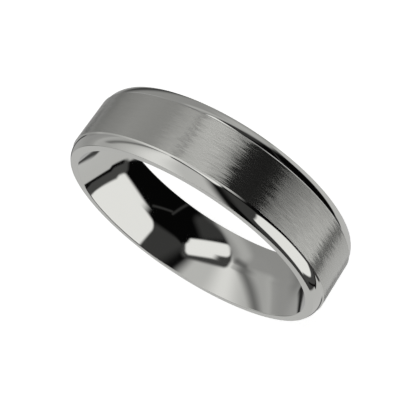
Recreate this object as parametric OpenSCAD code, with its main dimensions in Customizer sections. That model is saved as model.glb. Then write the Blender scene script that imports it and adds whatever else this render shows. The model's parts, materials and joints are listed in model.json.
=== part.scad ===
// Wedding band: one seamless ring turned from a single blank.
// The ring stands upright. Its bore runs along Y, +Z is up, and the origin is the centre of the bore.
// The cross-section is drawn with X as the distance from the bore's axis and Y along the bore.

/* [Ring] */
// Inner diameter at the middle of the bore, 21 mm is European ring size 66
bore_d = 21; // [15:0.1:23]
// Width of the band along the finger
band_w = 6; // [5.6:0.1:6.6]
// Thickness of the metal at the middle of the band
wall = 1.5; // [1.3:0.1:2.4]

/* [Outside] */
// Width of the flat satin belt
belt_w = 4; // [3.6:0.1:4.4]
// Width and depth of the small bevel along each edge of the belt
belt_bevel = 0.1; // [0.05:0.01:0.2]
// Radius of the rounded, polished shoulders beside the belt
shoulder_r = 1.35; // [1.1:0.05:2]
// Radius that breaks the corner between shoulder and side face
corner_r = 0.08; // [0.04:0.01:0.12]

/* [Inside] */
// Width of the straight cylindrical land at the middle of the bore
land_w = 0.4; // [0.2:0.1:1]
// Radius of the comfort-fit curve that opens the bore from the land to its mouths
comfort_r = 11; // [9:0.5:14]
// Radius that breaks the edge at each mouth of the bore
mouth_r = 0.1; // [0.05:0.01:0.3]

/* [Hidden] */

silver_grey = [0.70, 0.70, 0.68];
curve_steps = 96;

bore_r = bore_d / 2;
belt_r = bore_r + wall;
half_w = band_w / 2;
half_belt = belt_w / 2;
half_land = land_w / 2;

// The shoulder is an arc that leaves the foot of the bevel parallel to the belt
shoulder_start = half_belt + belt_bevel;
shoulder_top_r = belt_r - belt_bevel;
shoulder_centre_r = shoulder_top_r - shoulder_r;

// The corner's arc touches the shoulder's arc and the side face
corner_y = half_w - corner_r;
corner_reach = shoulder_r - corner_r;
corner_centre_r = shoulder_centre_r + sqrt(pow(corner_reach, 2) - pow(corner_y - shoulder_start, 2));
corner_touch_y = shoulder_start + (corner_y - shoulder_start) * shoulder_r / corner_reach;

// The mouth's arc touches the comfort-fit arc and the side face
comfort_centre_r = bore_r + comfort_r;
mouth_y = half_w - mouth_r;
mouth_reach = comfort_r - mouth_r;
mouth_centre_r = comfort_centre_r - sqrt(pow(mouth_reach, 2) - pow(mouth_y - half_land, 2));
mouth_touch_y = half_land + (mouth_y - half_land) * comfort_r / mouth_reach;

// Everything nearer the axis than this lies inside the bore, everything past outside_r is outside
inside_r = bore_r - 1;
outside_r = belt_r + 1;

// A rectangle of the cross-section, from one corner to the opposite one
module block(r0, y0, r1, y1) {
    translate([r0, y0])
        square([r1 - r0, y1 - y0]);
}

// The part of a disc of the cross-section that lies between two heights along the bore
module disc_slice(centre_r, centre_y, radius, y0, y1) {
    intersection() {
        translate([centre_r, centre_y])
            circle(r = radius, $fn = curve_steps);
        block(centre_r - radius - 1, y0, centre_r + radius + 1, y1);
    }
}

// Both halves of a shape that is drawn on the +Y side of the cross-section
module both_sides() {
    children();
    mirror([0, 1])
        children();
}

// Half of what the outer surface encloses: belt, bevel, shoulder, corner and side face
module outer_half() {
    polygon([
        [inside_r, 0],
        [belt_r, 0],
        [belt_r, half_belt],
        [shoulder_top_r, shoulder_start],
        [inside_r, shoulder_start]
    ]);
    block(inside_r, 0, shoulder_centre_r, half_w);
    disc_slice(shoulder_centre_r, shoulder_start, shoulder_r, 0, corner_touch_y);
    disc_slice(corner_centre_r, corner_y, corner_r, corner_y, half_w);
    block(inside_r, 0, corner_centre_r, half_w);
}

// Half of what lies outside the bore's surface: land, comfort-fit curve and mouth
module bore_half() {
    block(bore_r, 0, outside_r, half_land);
    disc_slice(comfort_centre_r, half_land, comfort_r, 0, mouth_touch_y);
    disc_slice(mouth_centre_r, mouth_y, mouth_r, mouth_touch_y, half_w);
    block(mouth_centre_r, 0, outside_r, half_w);
}

module cross_section() {
    intersection() {
        both_sides() outer_half();
        both_sides() bore_half();
    }
}

module band() {
    color(silver_grey)
        rotate([90, 0, 0])
            rotate_extrude($fn = 256)
                cross_section();
}

band();
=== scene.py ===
"""Wedding band: a satin belt between rounded, polished shoulders, with a polished comfort-fit bore."""

import json
import math

import bpy
from mathutils import Matrix, Vector


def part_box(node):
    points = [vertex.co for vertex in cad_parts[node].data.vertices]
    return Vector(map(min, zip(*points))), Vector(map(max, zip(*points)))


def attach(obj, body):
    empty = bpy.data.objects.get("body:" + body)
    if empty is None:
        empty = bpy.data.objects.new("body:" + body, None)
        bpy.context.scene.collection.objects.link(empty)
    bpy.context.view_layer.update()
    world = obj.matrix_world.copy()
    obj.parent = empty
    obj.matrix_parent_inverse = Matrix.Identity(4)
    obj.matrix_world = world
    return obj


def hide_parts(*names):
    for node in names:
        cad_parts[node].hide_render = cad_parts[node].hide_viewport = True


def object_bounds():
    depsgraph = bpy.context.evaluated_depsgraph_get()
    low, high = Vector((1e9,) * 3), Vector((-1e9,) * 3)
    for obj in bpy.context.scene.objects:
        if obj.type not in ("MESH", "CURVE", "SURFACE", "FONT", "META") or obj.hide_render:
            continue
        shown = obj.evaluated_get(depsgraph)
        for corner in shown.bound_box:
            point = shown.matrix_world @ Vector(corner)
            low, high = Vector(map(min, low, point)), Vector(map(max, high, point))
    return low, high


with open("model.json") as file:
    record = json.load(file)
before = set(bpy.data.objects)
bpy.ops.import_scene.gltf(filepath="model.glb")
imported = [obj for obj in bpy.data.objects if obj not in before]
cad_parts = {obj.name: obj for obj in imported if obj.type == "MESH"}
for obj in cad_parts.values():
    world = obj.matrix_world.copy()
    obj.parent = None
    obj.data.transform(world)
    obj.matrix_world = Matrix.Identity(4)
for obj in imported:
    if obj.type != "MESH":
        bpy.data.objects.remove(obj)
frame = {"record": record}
cad_low, cad_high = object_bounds()

# ---------------------------------------------------------------- sizes, in metres

MM = 0.001
band_low, band_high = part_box("band")
bore_mount = next(m for m in frame["record"]["mounts"] if m["name"] == "finger_bore")

BELT_R = min(band_high.x, -band_low.x, band_high.z, -band_low.z)
HALF_WIDTH = (band_high.y - band_low.y) / 2
BORE_R = bore_mount["dims"]["r_mm"] * MM
HALF_LAND = bore_mount["dims"]["length_mm"] * MM / 2
HALF_BELT = 2.0 * MM
BEVEL = 0.1 * MM
SHOULDER_R = 1.35 * MM
CORNER_R = 0.08 * MM
COMFORT_R = 11.0 * MM
MOUTH_R = 0.1 * MM

# Steps round the ring, then steps along each stretch of the cross-section
SEGMENTS = 640
BELT_STEPS = 12
SHOULDER_STEPS = 14
CORNER_STEPS = 5
MOUTH_STEPS = 6
COMFORT_STEPS = 16

# ---------------------------------------------------------------- camera

CAMERA_AZIMUTH = 32.0
CAMERA_ELEVATION = 67.5
CAMERA_DISTANCE = 95.4 * MM
CAMERA_LENS = 100.7
CLIP_START = 1 * MM
CLIP_END = 10.0
# The camera aims a hair to the left of and above the ring's centre
AIM_LEFT = 0.04 * MM
AIM_UP = 0.04 * MM

# ---------------------------------------------------------------- looks

# The middle stretch of a noise, which is spread over the wanted tilts or roughness
TILT_SPAN = (0.25, 0.75)
ROUGHNESS_SPAN = (0.3, 0.7)

POLISHED_COLOUR = (0.80, 0.80, 0.765, 1.0)
POLISHED_ROUGHNESS = (0.03, 0.06)
POLISH_HAZE = (500, 500, 500)

# Scratches and grain run round the ring and are much finer across the belt, in features per metre
SATIN_COLOUR = (0.68, 0.68, 0.645, 1.0)
SATIN_ROUGHNESS = (0.20, 0.24)
SCRATCHES = (700, 14000, 700)
GRAIN = (900, 14000, 900)
SCRATCH_TILT = 0.055
GRAIN_TILT = 0.02
# How far the belt's reflections are drawn out across the scratches, from 0 to 1, and the share of a
# full turn that points them there
BLUR_STRETCH = 0.85
BLUR_TURN = 0.25

BACKDROP_WHITE = (1.0, 1.0, 1.0, 1.0)
FLOOR_COLOUR = (0.9, 0.9, 0.9, 1.0)
FLOOR_GLOW = 0.75
FLOOR_RADIUS = 0.6
FLOOR_CORNERS = 64

# The studio is dark, and its cards hang around the ring and face it. Each row says where a card
# hangs, how big it is, how far it is rolled, how round its corners and how soft its edge are, all in
# degrees as seen from the ring, and how much light it gives. A later card hangs in front of an
# earlier one.
STUDIO_DARK = 0.002
CARD_VALUES = ("azimuth", "elevation", "width", "height", "roll", "corner", "soft", "light")
STUDIO_CARDS = {
    "dark panel": (78, 7, 78, 148, 0, 5, 3, 0.045),
    "left wall": (-112, -5, 116, 92, 0, 20, 9, 0.32),
    "ceiling sweep": (-49, 33, 112, 124, 46, 8, 4, 0.56),
    "ceiling sweep, lower part": (-78, -2, 26, 104, 54, 12, 12, 0.42),
    "ceiling band": (-49, 33, 26, 124, 46, 12, 12, 0.82),
    "ceiling streak": (-97, 23, 9, 66, 41, 5, 5, 0.17),
    "ceiling shade": (27, 53, 16, 110, -12, 7, 8, 0.002),
    "gap before the overhead softbox": (-151, 70.5, 46, 18, -49, 5, 2, 0.055),
    "black flag behind": (139, 9, 124, 78, 65, 3, 3, 0.002),
    "panel behind": (-178, 50, 26, 24, -42, 6, 4, 0.04),
    "overhead softbox": (-157, 68, 40, 13, -49, 4, 1.5, 0.93),
    "wall behind": (160, -50, 120, 80, 68, 6, 3, 0.55),
    "left wall, far part": (-150, 10, 77, 76, 17, 2, 3, 0.31),
    "left wall, far glow": (-177, 20, 30, 34, 0, 14, 12, 0.48),
    "left wall, far top": (-150, 40, 44, 12, 0, 5, 5, 0.46),
    "streak's end": (-118, 42, 5, 14, 30, 3, 3, 0.14),
    "low dark corner": (-136, -30, 36, 32, 0, 16, 14, 0.02),
    "low front sweep": (95, -73, 116, 64, 32, 6, 2, 0.54),
    "low left wall": (-118, -62, 70, 50, 0, 15, 12, 0.38),
    "low left sweep": (-30, -72, 50, 40, 0, 12, 10, 0.52),
    "low thin flag": (143, -71.5, 6.5, 18, 28, 3, 2.5, 0.06),
    "low left flag": (-112, -50, 5.5, 24, 6, 2, 2, 0.02),
    "left arch": (122, 36, 20, 2, 43, 1, 1, 0.035),
    "right arch": (145, 39, 26, 2, -30, 1, 1, 0.035),
    "side softbox": (84.5, 8.5, 52, 72, 10, 8, 1.8, 0.92),
    "low front panel": (105, -28, 34, 13, 35, 3, 2, 0.065),
    "low front panel, near end": (77, -30, 24, 12, -20, 3, 2, 0.065),
    "low front gap": (106, -34, 32, 3.6, 37, 1.5, 1.2, 0.002),
    "low front gap, near end": (82, -36.5, 20, 3.4, -20, 1.5, 1.2, 0.002),
}

# ---------------------------------------------------------------- cross-section


def arc(centre_r, centre_y, radius, start, end, steps):
    """Points (r, y, normal_r, normal_y) of an arc. Angle 0 faces outward, a quarter turn faces +Y."""
    points = []
    for step in range(steps + 1):
        angle = start + (end - start) * step / steps
        out_r, out_y = math.cos(angle), math.sin(angle)
        points.append((centre_r + radius * out_r, centre_y + radius * out_y, out_r, out_y))
    return points


def straight(start, end, normal, steps=1):
    """Points (r, y, normal_r, normal_y) of a straight line, which share one normal."""
    points = []
    for step in range(steps + 1):
        share = step / steps
        r = start[0] + (end[0] - start[0]) * share
        y = start[1] + (end[1] - start[1]) * share
        points.append((r, y, normal[0], normal[1]))
    return points


def mirrored(strip):
    """The same strip on the -Y side, walked the other way."""
    return [(r, -y, normal_r, -normal_y) for r, y, normal_r, normal_y in reversed(strip)]


def cross_section():
    """The closed outline as strips that each meet the next: (name, points), belt first."""
    shoulder_y = HALF_BELT + BEVEL
    shoulder_top_r = BELT_R - BEVEL
    shoulder_centre_r = shoulder_top_r - SHOULDER_R
    corner_y = HALF_WIDTH - CORNER_R
    corner_angle = math.asin((corner_y - shoulder_y) / (SHOULDER_R - CORNER_R))
    corner_centre_r = shoulder_centre_r + (SHOULDER_R - CORNER_R) * math.cos(corner_angle)

    comfort_centre_r = BORE_R + COMFORT_R
    mouth_y = HALF_WIDTH - MOUTH_R
    mouth_angle = math.pi - math.asin((mouth_y - HALF_LAND) / (COMFORT_R - MOUTH_R))
    mouth_centre_r = comfort_centre_r + (COMFORT_R - MOUTH_R) * math.cos(mouth_angle)

    quarter = math.pi / 2
    slope = math.sqrt(0.5)
    side = [
        ("bevel", straight((BELT_R, HALF_BELT), (shoulder_top_r, shoulder_y), (slope, slope))),
        ("shoulder", arc(shoulder_centre_r, shoulder_y, SHOULDER_R, 0, corner_angle, SHOULDER_STEPS)),
        ("corner", arc(corner_centre_r, corner_y, CORNER_R, corner_angle, quarter, CORNER_STEPS)),
        ("side_face", straight((corner_centre_r, HALF_WIDTH), (mouth_centre_r, HALF_WIDTH), (0, 1))),
        ("mouth", arc(mouth_centre_r, mouth_y, MOUTH_R, quarter, mouth_angle, MOUTH_STEPS)),
        ("comfort", arc(comfort_centre_r, HALF_LAND, COMFORT_R, mouth_angle, math.pi, COMFORT_STEPS)),
    ]
    belt = straight((BELT_R, -HALF_BELT), (BELT_R, HALF_BELT), (1, 0), BELT_STEPS)
    land = straight((BORE_R, HALF_LAND), (BORE_R, -HALF_LAND), (-1, 0))
    far_side = [(name, mirrored(points)) for name, points in reversed(side)]
    return [("belt", belt)] + side + [("land", land)] + far_side


# ---------------------------------------------------------------- ring


def turned_point(r, y, segment):
    """A point of the cross-section, or the direction of its normal, turned to one segment's place."""
    angle = 2 * math.pi * (segment % SEGMENTS) / SEGMENTS
    return (r * math.cos(angle), y, r * math.sin(angle))


def ring_mesh():
    """The cross-section turned about Y: one closed mesh with exact normals, belt faces in slot 0."""
    vertices = []
    rows = []
    for name, points in cross_section():
        for start, end in zip(points, points[1:]):
            rows.append((name, start, end))
            vertices += [turned_point(start[0], start[1], s) for s in range(SEGMENTS)]

    faces = []
    normals = []
    places = []
    slots = []
    along = 0.0
    for row, (name, start, end) in enumerate(rows):
        this_row = row * SEGMENTS
        next_row = (row + 1) % len(rows) * SEGMENTS
        after = along + math.dist(start[:2], end[:2]) / (2 * math.pi * BELT_R)
        for segment in range(SEGMENTS):
            beside = (segment + 1) % SEGMENTS
            faces.append((this_row + segment, next_row + segment, next_row + beside, this_row + beside))
            normals.append(turned_point(start[2], start[3], segment))
            normals.append(turned_point(end[2], end[3], segment))
            normals.append(turned_point(end[2], end[3], segment + 1))
            normals.append(turned_point(start[2], start[3], segment + 1))
            left, right = segment / SEGMENTS, (segment + 1) / SEGMENTS
            places += [(left, along), (left, after), (right, after), (right, along)]
            slots.append(0 if name == "belt" else 1)
        along = after

    mesh = bpy.data.meshes.new("wedding_band")
    mesh.from_pydata(vertices, [], faces)
    mesh.polygons.foreach_set("material_index", slots)
    mesh.polygons.foreach_set("use_smooth", [True] * len(faces))
    mesh.uv_layers.new(name="UVMap")
    mesh.uv_layers[0].data.foreach_set("uv", [value for place in places for value in place])
    mesh.normals_split_custom_set(normals)
    mesh.update()
    return mesh


# ---------------------------------------------------------------- nodes


def add_node(tree, kind, settings=(), **inputs):
    """A new node: settings are its own (name, value), inputs are its sockets by name or number."""
    node = tree.nodes.new(kind)
    for name, value in settings:
        setattr(node, name, value)
    for name, value in inputs.items():
        key = int(name[5:]) if name.startswith("input") else name.replace("_", " ")
        if isinstance(value, bpy.types.NodeSocket):
            tree.links.new(value, node.inputs[key])
        else:
            node.inputs[key].default_value = value
    return node


def calculate(tree, operation, first, second=0.0):
    """The result of a Math node. Each of its inputs is a number or another node's output."""
    node = add_node(tree, "ShaderNodeMath", [("operation", operation)], input0=first, input1=second)
    return node.outputs[0]


def metal(name, colour):
    """A metal material, its node tree and shader, and the object coordinates for its patterns."""
    material = bpy.data.materials.new(name)
    material.use_nodes = True
    tree = material.node_tree
    shader = tree.nodes["Principled BSDF"]
    shader.inputs["Base Color"].default_value = colour
    shader.inputs["Metallic"].default_value = 1.0
    place = add_node(tree, "ShaderNodeTexCoord").outputs["Object"]
    return material, tree, shader, place


def noise(tree, place, scale, detail=2.0, roughness=0.5):
    """Noise from 0 to 1, whose scale along X, Y and Z is in features per metre."""
    stretched = add_node(tree, "ShaderNodeMapping", Vector=place, Scale=scale).outputs["Vector"]
    node = add_node(
        tree, "ShaderNodeTexNoise", Vector=stretched, Scale=1.0, Detail=detail, Roughness=roughness
    )
    return node.outputs[0]


def spread(tree, value, span, wanted):
    """The value moved from one range, span, into another, wanted, and kept inside it."""
    node = add_node(
        tree,
        "ShaderNodeMapRange",
        Value=value,
        From_Min=span[0],
        From_Max=span[1],
        To_Min=wanted[0],
        To_Max=wanted[1],
    )
    return node.outputs[0]


def scaled_sum(tree, direction, amount, start):
    """The vector start plus direction times amount."""
    stretched = add_node(
        tree, "ShaderNodeVectorMath", [("operation", "SCALE")], input0=direction, Scale=amount
    )
    total = add_node(
        tree, "ShaderNodeVectorMath", [("operation", "ADD")], input0=start, input1=stretched.outputs[0]
    )
    return total.outputs[0]


def satin_metal():
    """Brushed round the ring: fine scratches tilt the surface a little, along the belt and across it."""
    material, tree, shader, place = metal("satin_metal", SATIN_COLOUR)
    scratches = noise(tree, place, SCRATCHES, 2.0, 0.6)
    grain = noise(tree, place, GRAIN, 2.0, 0.5)
    tangent_settings = [("direction_type", "RADIAL"), ("axis", "Y")]
    round_belt = add_node(tree, "ShaderNodeTangent", tangent_settings).outputs[0]
    across_belt = (0.0, 1.0, 0.0)
    smooth = add_node(tree, "ShaderNodeNewGeometry").outputs["Normal"]
    along_tilt = spread(tree, scratches, TILT_SPAN, (-SCRATCH_TILT, SCRATCH_TILT))
    across_tilt = spread(tree, grain, TILT_SPAN, (-GRAIN_TILT, GRAIN_TILT))
    tilted = scaled_sum(tree, round_belt, along_tilt, smooth)
    tilted = scaled_sum(tree, across_belt, across_tilt, tilted)
    normal = add_node(tree, "ShaderNodeVectorMath", [("operation", "NORMALIZE")], input0=tilted)
    tree.links.new(normal.outputs[0], shader.inputs["Normal"])
    tree.links.new(spread(tree, grain, ROUGHNESS_SPAN, SATIN_ROUGHNESS), shader.inputs["Roughness"])
    tree.links.new(round_belt, shader.inputs["Tangent"])
    shader.inputs["Anisotropic"].default_value = BLUR_STRETCH
    shader.inputs["Anisotropic Rotation"].default_value = BLUR_TURN
    return material


def polished_metal():
    """Mirror polish, a little hazier in some places than in others."""
    material, tree, shader, place = metal("polished_metal", POLISHED_COLOUR)
    haze = noise(tree, place, POLISH_HAZE, 3.0)
    tree.links.new(spread(tree, haze, ROUGHNESS_SPAN, POLISHED_ROUGHNESS), shader.inputs["Roughness"])
    return material


def floor_material():
    """Matt white that glows a little, so that the floor looks pale beneath the dark studio."""
    material = bpy.data.materials.new("white_floor")
    material.use_nodes = True
    shader = material.node_tree.nodes["Principled BSDF"]
    shader.inputs["Base Color"].default_value = FLOOR_COLOUR
    shader.inputs["Roughness"].default_value = 1.0
    shader.inputs["Specular IOR Level"].default_value = 0.0
    shader.inputs["Emission Color"].default_value = BACKDROP_WHITE
    shader.inputs["Emission Strength"].default_value = FLOOR_GLOW
    return material


# ---------------------------------------------------------------- studio


def towards(azimuth, elevation):
    """The direction from the ring to azimuth and elevation, in degrees. Azimuth 0 is -Y and 90 is +X."""
    a, e = math.radians(azimuth), math.radians(elevation)
    return Vector((math.sin(a) * math.cos(e), -math.cos(a) * math.cos(e), math.sin(e)))


def card_mask(tree, direction, card):
    """1 where a direction meets the card, and 0 past its soft edge."""
    facing = towards(card["azimuth"], card["elevation"])
    roll = Matrix.Rotation(math.radians(card["roll"]), 3, facing)
    sideways = roll @ towards(card["azimuth"] + 90, 0)
    upward = facing.cross(sideways)
    corner, soft = math.radians(card["corner"]), math.radians(card["soft"])

    def along(axis):
        node = add_node(
            tree, "ShaderNodeVectorMath", [("operation", "DOT_PRODUCT")], input0=direction, input1=axis
        )
        return node.outputs["Value"]

    depth = along(facing)
    squares = []
    for axis, size in ((sideways, card["width"]), (upward, card["height"])):
        angle = calculate(tree, "ABSOLUTE", calculate(tree, "ARCTAN2", along(axis), depth))
        past = calculate(tree, "SUBTRACT", angle, math.radians(size / 2) - corner)
        past = calculate(tree, "MAXIMUM", past, 0.0)
        squares.append(calculate(tree, "MULTIPLY", past, past))
    distance = calculate(tree, "SQRT", calculate(tree, "ADD", *squares))
    edge = add_node(
        tree,
        "ShaderNodeMapRange",
        [("interpolation_type", "SMOOTHSTEP")],
        Value=distance,
        From_Min=corner - soft,
        From_Max=corner + soft,
        To_Min=1.0,
        To_Max=0.0,
    )
    return edge.outputs[0]


def make_studio():
    """The soft studio that the metal mirrors. The camera itself sees a plain white backdrop."""
    world = bpy.data.worlds.new("studio")
    world.use_nodes = True
    bpy.context.scene.world = world
    tree = world.node_tree
    tree.nodes.clear()
    direction = add_node(tree, "ShaderNodeTexCoord").outputs["Generated"]
    brightness = STUDIO_DARK
    for values in STUDIO_CARDS.values():
        card = dict(zip(CARD_VALUES, values))
        mask = card_mask(tree, direction, card)
        change = calculate(tree, "MULTIPLY", mask, calculate(tree, "SUBTRACT", card["light"], brightness))
        brightness = calculate(tree, "ADD", brightness, change)
    cards = add_node(tree, "ShaderNodeBackground", Color=brightness)
    backdrop = add_node(tree, "ShaderNodeBackground", Color=BACKDROP_WHITE)
    seen = add_node(tree, "ShaderNodeLightPath").outputs["Is Camera Ray"]
    chosen = add_node(
        tree,
        "ShaderNodeMixShader",
        input0=seen,
        input1=cards.outputs["Background"],
        input2=backdrop.outputs["Background"],
    )
    add_node(tree, "ShaderNodeOutputWorld", Surface=chosen.outputs["Shader"])


def make_floor():
    """A round white floor under the ring. The polished metal doesn't mirror it, only the studio."""
    mesh = bpy.data.meshes.new("floor")
    rim = []
    for corner in range(FLOOR_CORNERS):
        angle = 2 * math.pi * corner / FLOOR_CORNERS
        rim.append((FLOOR_RADIUS * math.cos(angle), FLOOR_RADIUS * math.sin(angle), cad_low.z))
    mesh.from_pydata(rim, [], [tuple(range(FLOOR_CORNERS))])
    mesh.materials.append(floor_material())
    floor = bpy.data.objects.new("floor", mesh)
    bpy.context.scene.collection.objects.link(floor)
    floor.visible_glossy = False


def make_camera():
    """The camera, at its angle and distance from the ring's centre."""
    centre = (cad_low + cad_high) / 2
    back = towards(CAMERA_AZIMUTH, CAMERA_ELEVATION)
    right = towards(CAMERA_AZIMUTH + 90, 0)
    aim = centre - right * AIM_LEFT + back.cross(right) * AIM_UP
    camera = bpy.data.objects.new("camera", bpy.data.cameras.new("camera"))
    camera.data.lens = CAMERA_LENS
    camera.data.clip_start = CLIP_START
    camera.data.clip_end = CLIP_END
    camera.location = aim + back * CAMERA_DISTANCE
    camera.rotation_mode = "QUATERNION"
    camera.rotation_quaternion = (-back).to_track_quat("-Z", "Y")
    bpy.context.scene.collection.objects.link(camera)
    bpy.context.scene.camera = camera


# ---------------------------------------------------------------- scene

bpy.context.scene.view_settings.view_transform = "Standard"
make_camera()
make_studio()
make_floor()

ring = bpy.data.objects.new("wedding_band", ring_mesh())
bpy.context.scene.collection.objects.link(ring)
ring.data.materials.append(satin_metal())
ring.data.materials.append(polished_metal())
ring.visible_glossy = False
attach(ring, "root")
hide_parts("band")
